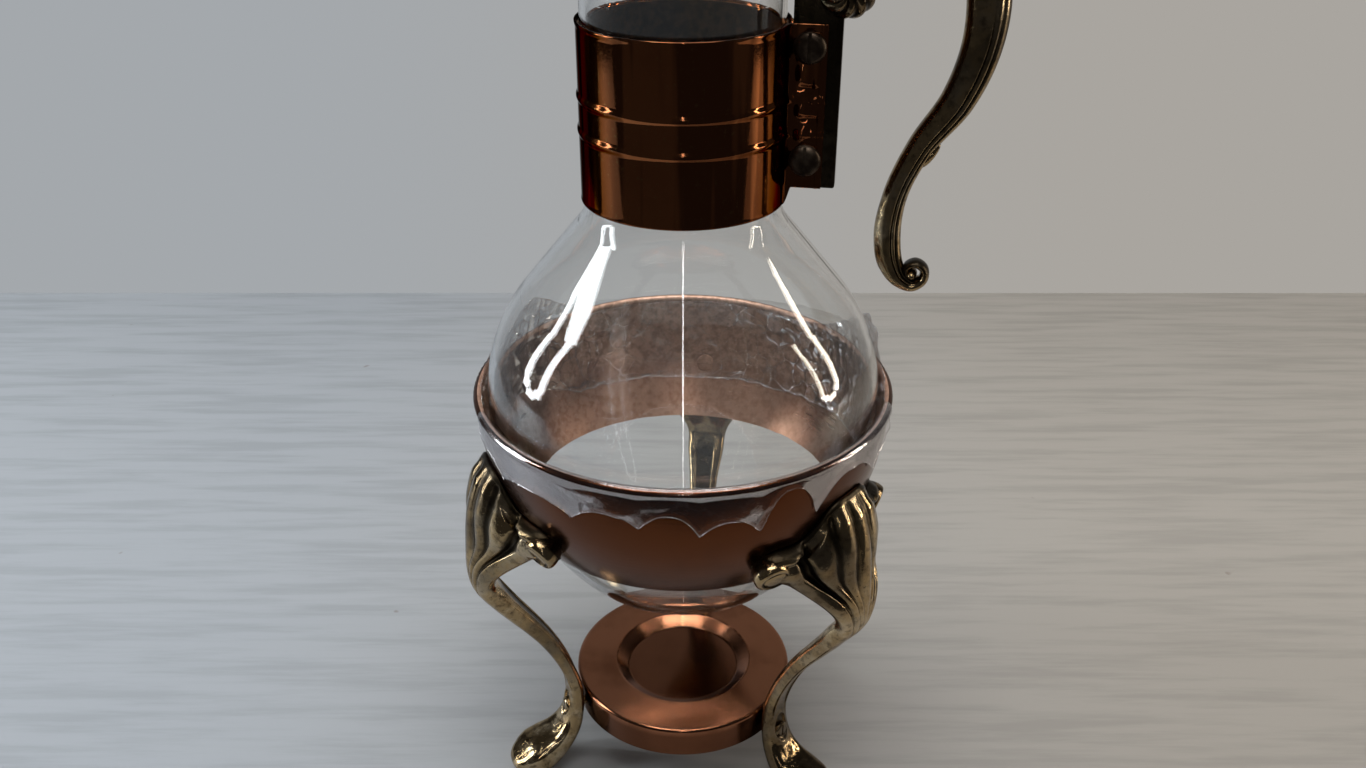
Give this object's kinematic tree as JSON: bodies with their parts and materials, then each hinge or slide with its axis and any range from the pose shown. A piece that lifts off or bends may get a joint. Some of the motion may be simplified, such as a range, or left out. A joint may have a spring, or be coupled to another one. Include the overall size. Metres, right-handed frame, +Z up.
{
  "type": "carafe with warming stand",
  "caption": "Round glass carafe with a copper neck band, cast brass handle and hinged domed lid, resting in an open copper bowl on cabriole legs that hold a candle dish below.",
  "frame": {"origin": "on the common axis of the bowl, dish and glass, at the table plane that the three feet rest on", "axes": "+Z up along the common axis; the handle points to +X, turned 10 degrees towards -Y; the picture looks along +Y"},
  "size_m": [0.1808, 0.1616, 0.3472],
  "materials": {
    "copper": "polished",
    "dark_copper": "polished",
    "antique_brass": "tarnished",
    "steel": "dull",
    "glass": "clear",
    "clear_film": "glossy",
    "liner": "matte"
  },
  "bodies": {
    "stand": {"support_bowl": "copper", "leg_left": "antique_brass", "leg_right": "antique_brass", "leg_back": "antique_brass", "leg_screws": "antique_brass", "candle_dish": "copper", "dish_screws": "antique_brass", "dish_nuts": "steel", "protective_film": "clear_film"},
    "carafe": {"glass_carafe": "glass", "band_liner": "liner", "neck_band": "dark_copper", "handle": "antique_brass", "ear_screws": "antique_brass", "ear_nuts": "antique_brass", "hinge_pin": "antique_brass"},
    "lid": {"lid_dome": "copper", "lid_collar": "copper", "lid_hinge_leaf": "antique_brass", "lid_rivets": "antique_brass", "lid_knob": "antique_brass", "knob_screw": "steel"}
  },
  "joints": [
    {"name": "carafe_lift", "type": "slide", "parent": "stand", "child": "carafe", "axis": [0, 0, 1], "range_m": [0, 0.1]},
    {"name": "lid_hinge", "type": "hinge", "parent": "carafe", "child": "lid", "pos_m": [0.04116, -0.00726, 0.31905], "axis": [0.1736, 0.9848, 0], "range_deg": [0, 85]}
  ]
}
